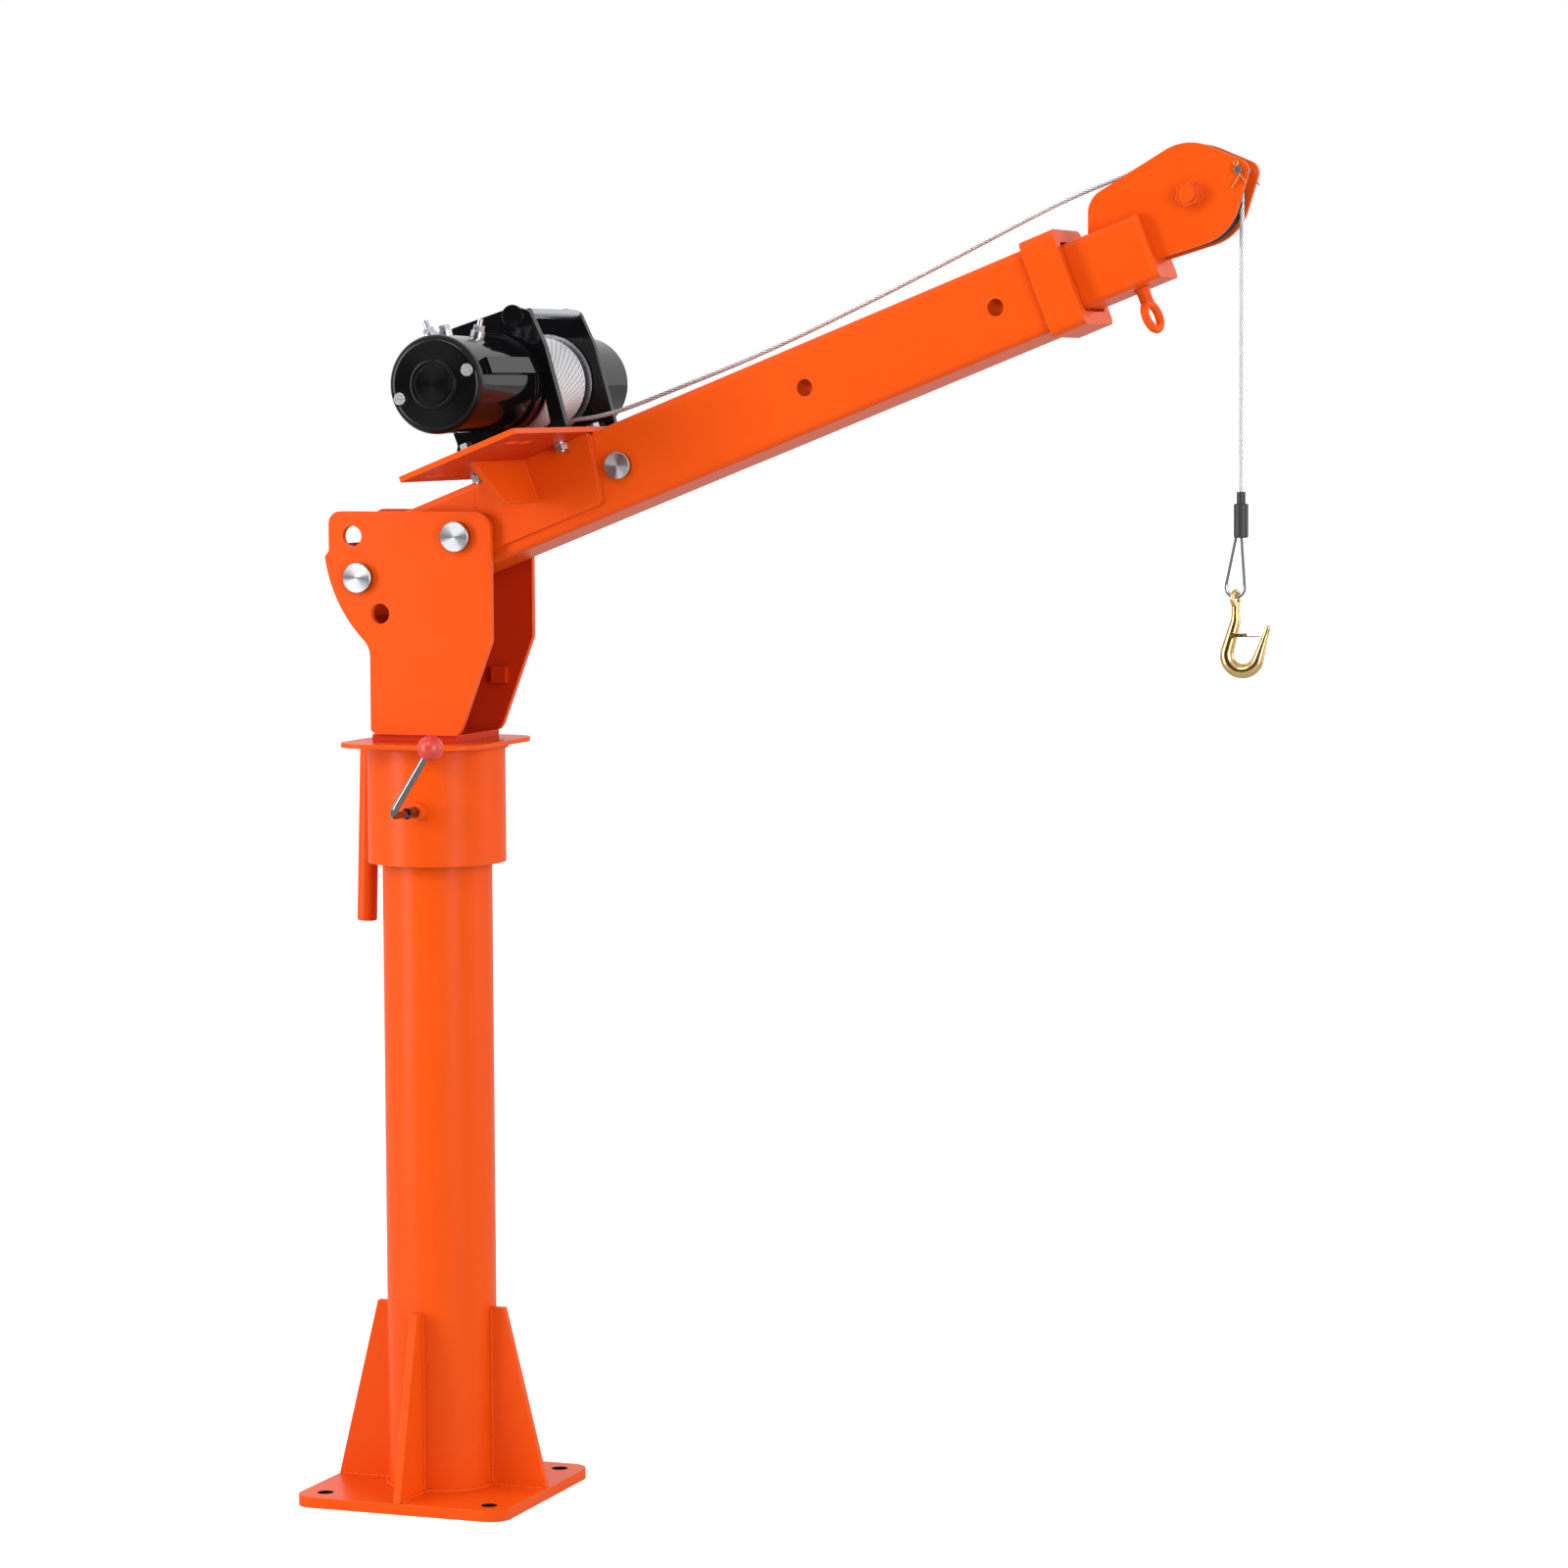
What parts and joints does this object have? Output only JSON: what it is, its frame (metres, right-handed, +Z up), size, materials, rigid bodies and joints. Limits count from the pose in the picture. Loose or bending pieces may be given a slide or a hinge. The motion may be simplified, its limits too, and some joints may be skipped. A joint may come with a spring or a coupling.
{
  "type": "pickup truck crane",
  "caption": "Bolt-down pickup bed crane: slewing head on a round column, pinned telescopic boom with an electric rope winch, head sheave and swivel hook.",
  "frame": {"origin": "middle of the base plate's underside, on the column's axis", "axes": "+Z up the column; +X towards the hook with the boom as stored; +Y to the left of the boom, with the winch motor on the -Y side"},
  "size_m": [1.0625, 0.44, 1.4604],
  "materials": {
    "orange_paint": "gloss orange powder coat",
    "black_paint": "gloss black",
    "turned_steel": "turned, bright",
    "zinc_steel": "bright zinc",
    "wire_rope": "galvanised strands",
    "gold_zinc": "yellow zinc",
    "chrome_bar": "polished",
    "bronze": "turned bronze",
    "nylon": "natural nylon",
    "red_ball": "gloss moulded",
    "black_sleeve": "shrink tube",
    "cast_sheave": "machined groove"
  },
  "bodies": {
    "column": {"base_plate": "orange_paint", "base_gussets": "orange_paint", "column_tube": "orange_paint", "column_cap": "orange_paint", "thrust_washer": "bronze", "king_bolt": "zinc_steel"},
    "slew_head": {"slew_sleeve": "orange_paint", "sleeve_bushes": "bronze", "slew_flange": "orange_paint", "head_base": "orange_paint", "cheek_near": "orange_paint", "cheek_far": "orange_paint", "cheek_web": "orange_paint", "pivot_pin": "turned_steel", "pivot_nut": "zinc_steel", "push_bar": "orange_paint", "clamp_boss": "orange_paint"},
    "clamp_foot": {"clamp_pad": "zinc_steel"},
    "clamp_lever": {"clamp_screw": "chrome_bar", "clamp_ball": "red_ball"},
    "angle_lock": {"angle_pin": "turned_steel"},
    "boom": {"boom_outer": "orange_paint", "boom_collar": "orange_paint", "boom_pads": "nylon", "pivot_sleeve": "orange_paint", "winch_plate": "orange_paint", "winch_gussets": "orange_paint", "drum_support_near": "black_paint", "drum_support_far": "black_paint", "winch_bolts": "zinc_steel", "tie_bars": "zinc_steel", "motor_housing": "black_paint", "motor_end_cap": "black_paint", "cap_screws": "zinc_steel", "motor_terminals": "zinc_steel", "gear_housing": "black_paint", "rope_run": "wire_rope"},
    "clutch": {"clutch_knob": "black_paint"},
    "winch_drum": {"drum": "zinc_steel", "rope_core": "wire_rope", "rope_winding": "wire_rope"},
    "extension_lock": {"extension_pin": "turned_steel"},
    "inner_boom": {"boom_inner": "orange_paint", "inner_end_plate": "orange_paint", "inner_pads": "nylon", "lifting_eye": "orange_paint", "head_plate_near": "orange_paint", "head_plate_far": "orange_paint", "head_axle": "orange_paint", "keeper_pin": "zinc_steel", "keeper_cotters": "zinc_steel", "rope_wrap": "wire_rope"},
    "head_wheel": {"sheave": "cast_sheave"},
    "hanging_rope": {"load_line": "wire_rope"},
    "rope_end": {"rope_ferrule": "black_sleeve", "rope_loop": "wire_rope", "thimble": "zinc_steel"},
    "swivel_eye": {"hook_eye": "gold_zinc"},
    "hook_body": {"hook": "gold_zinc"},
    "hook_latch": {"latch": "gold_zinc"}
  },
  "joints": [
    {"name": "slew", "type": "hinge", "parent": "column", "child": "slew_head", "pos_m": [0, 0, 0.828], "axis": [0, 0, 1], "continuous": true},
    {"name": "clamp_pad_slide", "type": "slide", "parent": "slew_head", "child": "clamp_foot", "axis": [0, -1, 0], "range_m": [0, 0.002]},
    {"name": "clamp_lever_turn", "type": "hinge", "parent": "clamp_foot", "child": "clamp_lever", "pos_m": [0.011, -0.143, 0.76], "axis": [0, -1, 0], "range_deg": [0, 360]},
    {"name": "angle_pin_pull", "type": "slide", "parent": "slew_head", "child": "angle_lock", "axis": [0, -1, 0], "range_m": [0, 0.15]},
    {"name": "boom_lift", "type": "hinge", "parent": "slew_head", "child": "boom", "pos_m": [0.054, 0, 1.056], "axis": [0, -1, 0], "range_deg": [0, 21.2]},
    {"name": "clutch_turn", "type": "hinge", "parent": "boom", "child": "clutch", "pos_m": [0.10882, 0.178, 1.21884], "axis": [0, 1, 0], "range_deg": [0, 90]},
    {"name": "drum_spin", "type": "hinge", "parent": "boom", "child": "winch_drum", "pos_m": [0.10882, 0, 1.21884], "axis": [0, -1, 0], "range_deg": [-214, 1014]},
    {"name": "extension_pin_pull", "type": "slide", "parent": "boom", "child": "extension_lock", "axis": [0, -1, 0], "range_m": [0, 0.12]},
    {"name": "boom_extension", "type": "slide", "parent": "boom", "child": "inner_boom", "axis": [0.9323, 0, 0.3616], "range_m": [0, 0.45], "deforming": ["rope_run"]},
    {"name": "sheave_spin", "type": "hinge", "parent": "inner_boom", "child": "head_wheel", "pos_m": [0.85734, 0, 1.40728], "axis": [0, 1, 0], "continuous": true},
    {"name": "load_swing", "type": "hinge", "parent": "inner_boom", "child": "hanging_rope", "pos_m": [0.90594, 0, 1.40728], "axis": [0, 1, 0], "range_deg": [-25, 25]},
    {"name": "hoist", "type": "slide", "parent": "hanging_rope", "child": "rope_end", "axis": [0, 0, -1], "range_m": [-0.18, 0.85], "deforming": ["load_line"]},
    {"name": "hook_swing", "type": "hinge", "parent": "rope_end", "child": "swivel_eye", "pos_m": [0.9, 0, 0.997], "axis": [1, 0, 0], "range_deg": [-60, 60]},
    {"name": "hook_swivel", "type": "hinge", "parent": "swivel_eye", "child": "hook_body", "pos_m": [0.9006, 0, 0.9817], "axis": [0, 0, 1], "continuous": true},
    {"name": "latch_swing", "type": "hinge", "parent": "hook_body", "child": "hook_latch", "pos_m": [0.8985, 0, 0.958], "axis": [0, 1, 0], "range_deg": [0, 50], "stiffness_Nm_per_rad": 0.02, "springref_deg": -17.19}
  ],
  "couplings": [
    {"joint": "clamp_pad_slide", "follows": "clamp_lever_turn", "m_per_rad": 0.000318},
    {"joint": "hoist", "follows": "drum_spin", "m_per_rad": 0.048},
    {"joint": "sheave_spin", "follows": "drum_spin", "ratio": 0.98765}
  ]
}
